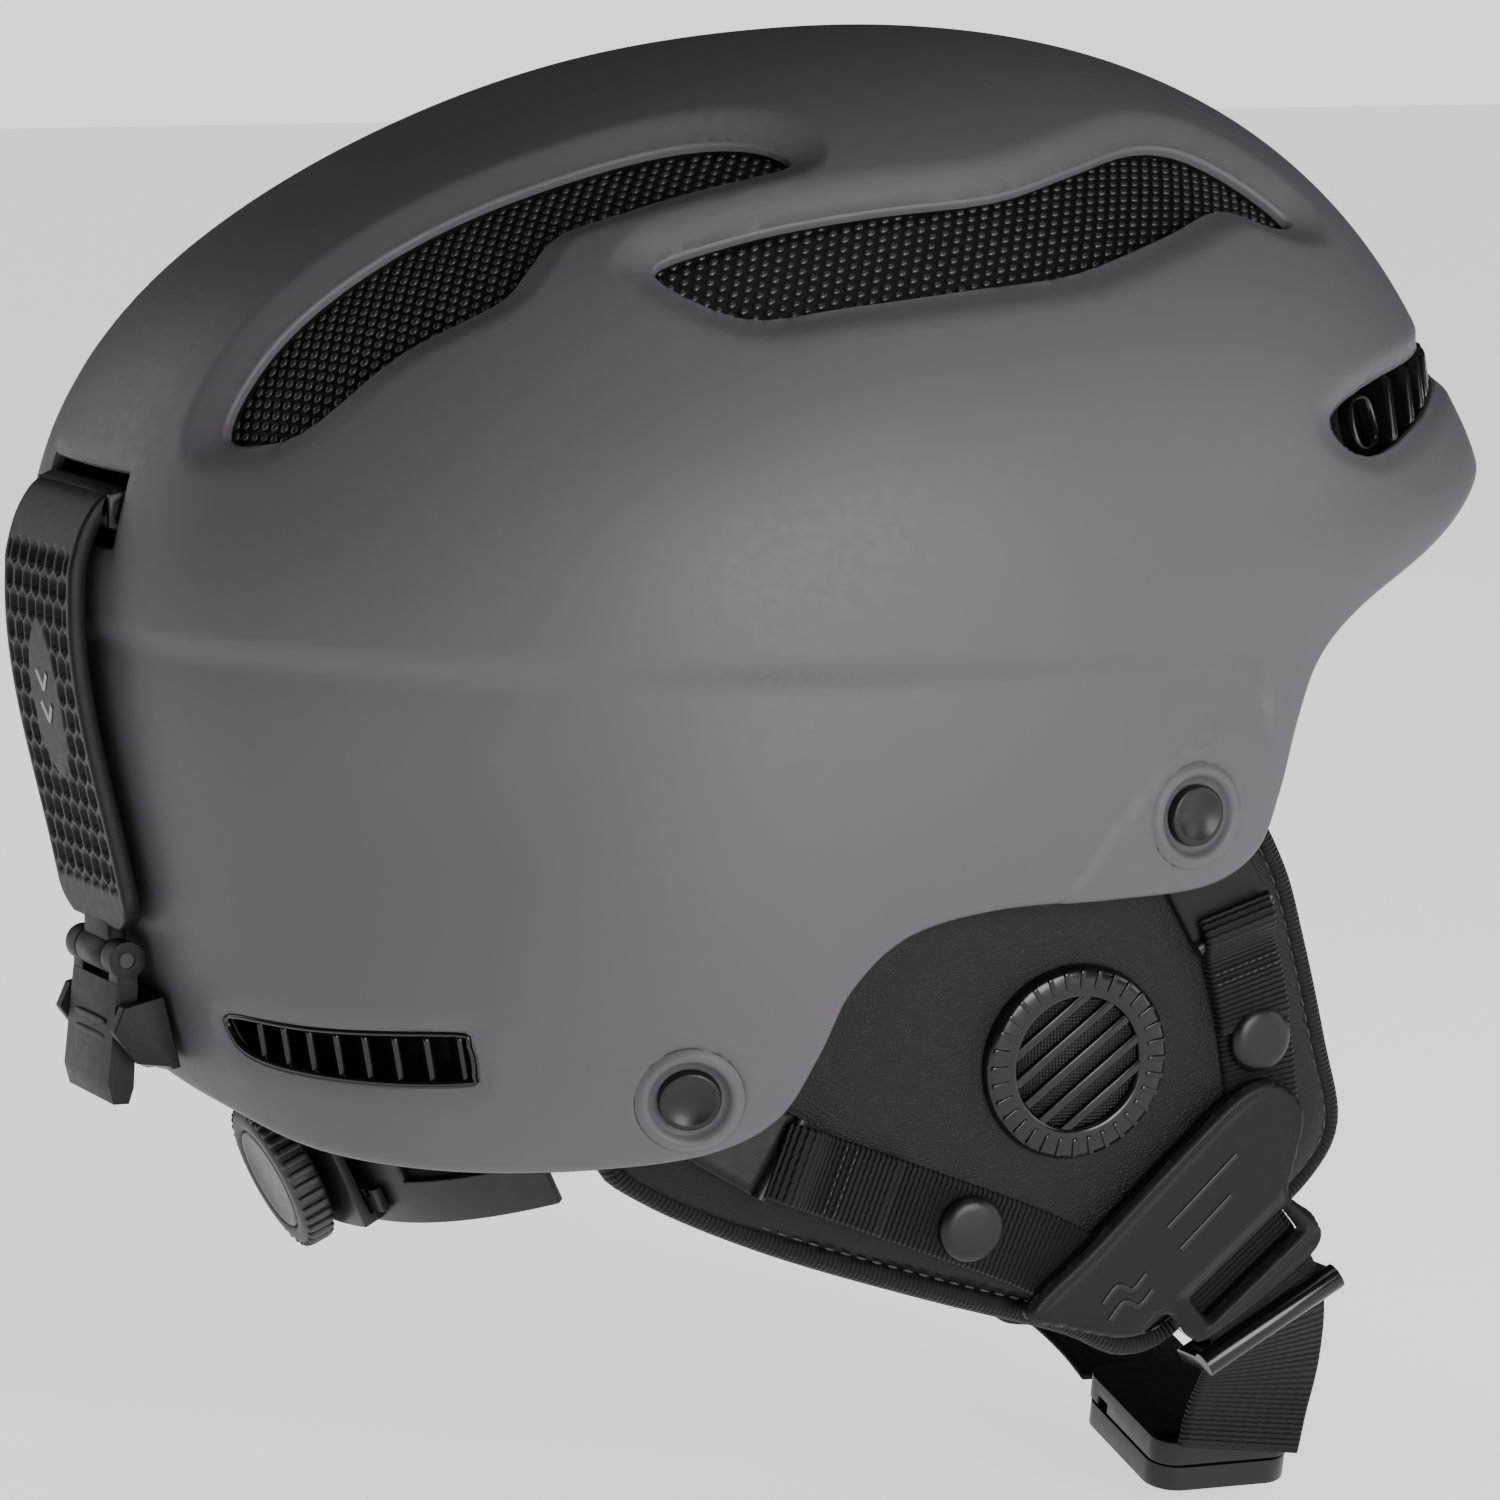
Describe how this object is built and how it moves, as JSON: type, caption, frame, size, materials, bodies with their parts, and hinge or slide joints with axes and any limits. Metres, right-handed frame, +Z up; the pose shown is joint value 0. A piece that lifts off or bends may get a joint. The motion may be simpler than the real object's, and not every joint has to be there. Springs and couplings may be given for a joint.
{
  "type": "ski helmet",
  "caption": "Snow sports helmet with a hard shell, vents, soft ear pads, a magnetic chin strap buckle, a fit dial at the back and a goggle strap clip.",
  "frame": {"origin": "centre of the wearer's head, in the head cavity between the ear pads and below the crown", "axes": "+X forward towards the brim, +Y to the wearer's left, +Z up towards the crown"},
  "size_m": [0.2856, 0.226, 0.2768],
  "materials": {
    "shell": "matt moulded",
    "foam": "moulded foam",
    "screen": "open mesh",
    "gloss": "polished",
    "hardware": "satin moulded",
    "nut": "moulded",
    "pad": "brushed knit",
    "ear_leather": "fine grain",
    "tape": "woven",
    "mesh": "open knit",
    "webbing": "ribbed weave",
    "strap_tab": "soft matt",
    "magnet": "plated",
    "dial": "knurled",
    "steel": "drawn",
    "clip_rubber": "soft matt"
  },
  "bodies": {
    "helmet": {"shell": "shell", "foam_liner": "foam", "vent_screen_front_right": "screen", "vent_screen_front_left": "screen", "vent_screen_rear_right": "screen", "vent_screen_rear_left": "screen", "forehead_grille": "shell", "exhaust_grille_right": "gloss", "exhaust_grille_left": "gloss", "anchor_caps": "hardware", "anchor_nuts": "nut", "brow_pad": "pad", "crown_pad": "pad", "side_pad_right": "pad", "side_pad_left": "pad", "nape_pad_right": "pad", "nape_pad_left": "pad", "strap_tabs_right": "strap_tab", "strap_tabs_left": "strap_tab", "front_strap_right": "webbing", "front_strap_left": "webbing", "rear_strap_right": "webbing", "rear_strap_left": "webbing", "press_studs_right": "hardware", "press_studs_left": "hardware", "junction_right": "strap_tab", "junction_left": "strap_tab", "chin_strap_right": "webbing", "chin_strap_left": "webbing", "slider_right": "gloss", "slider_left": "gloss", "chin_pad": "pad", "buckle_base": "hardware", "base_magnet": "magnet", "cradle": "hardware", "cradle_pad_right": "pad", "cradle_pad_left": "pad", "hanger": "hardware", "dial_housing": "hardware", "clip_mount": "hardware", "clip_pin": "steel", "clip_catch": "hardware"},
    "ear_right": {"ear_pad_right": "ear_leather", "ear_tape_right": "tape", "ear_cover_right": "hardware", "ear_mesh_right": "mesh"},
    "ear_left": {"ear_pad_left": "ear_leather", "ear_tape_left": "tape", "ear_cover_left": "hardware", "ear_mesh_left": "mesh"},
    "dial": {"dial": "dial", "dial_shaft": "steel", "dial_cap": "hardware"},
    "band_right": {"band_right": "hardware"},
    "band_left": {"band_left": "hardware"},
    "buckle_tongue": {"buckle_tongue": "hardware", "tongue_magnet": "magnet"},
    "goggle_clip": {"clip_strap": "clip_rubber"},
    "clip_tab": {"clip_tab": "clip_rubber", "clip_tab_pin": "steel"}
  },
  "joints": [
    {"name": "dial_turn", "type": "hinge", "parent": "helmet", "child": "dial", "pos_m": [-0.08899, 0, -0.10503], "axis": [0.9063, 0, 0.4226], "range_deg": [-80, 80]},
    {"name": "band_right_slide", "type": "hinge", "parent": "helmet", "child": "band_right", "pos_m": [-0.0038, 0, -0.0653], "axis": [-0.4226, 0, 0.9063], "range_deg": [-5, 5]},
    {"name": "band_left_slide", "type": "hinge", "parent": "helmet", "child": "band_left", "pos_m": [-0.0038, 0, -0.0653], "axis": [-0.4226, 0, 0.9063], "range_deg": [-5, 5]},
    {"name": "ear_right_fold", "type": "hinge", "parent": "helmet", "child": "ear_right", "pos_m": [0.02, -0.096, -0.027], "axis": [1, 0, 0], "range_deg": [0, 20], "stiffness_Nm_per_rad": 0.05},
    {"name": "ear_left_fold", "type": "hinge", "parent": "helmet", "child": "ear_left", "pos_m": [0.02, 0.096, -0.027], "axis": [-1, 0, 0], "range_deg": [0, 20], "stiffness_Nm_per_rad": 0.05},
    {"name": "buckle_slide", "type": "slide", "parent": "helmet", "child": "buckle_tongue", "axis": [1, 0, 0], "range_m": [0, 0.014]},
    {"name": "clip_swing", "type": "hinge", "parent": "helmet", "child": "goggle_clip", "pos_m": [-0.127, 0, 0.024], "axis": [0, 1, 0], "range_deg": [0, 100]},
    {"name": "clip_tab_swing", "type": "hinge", "parent": "goggle_clip", "child": "clip_tab", "pos_m": [-0.1246, 0, -0.06094], "axis": [0, 1, 0], "range_deg": [0, 45]}
  ],
  "couplings": [
    {"joint": "band_right_slide", "follows": "dial_turn", "ratio": 0.061364},
    {"joint": "band_left_slide", "follows": "dial_turn", "ratio": -0.061364}
  ]
}
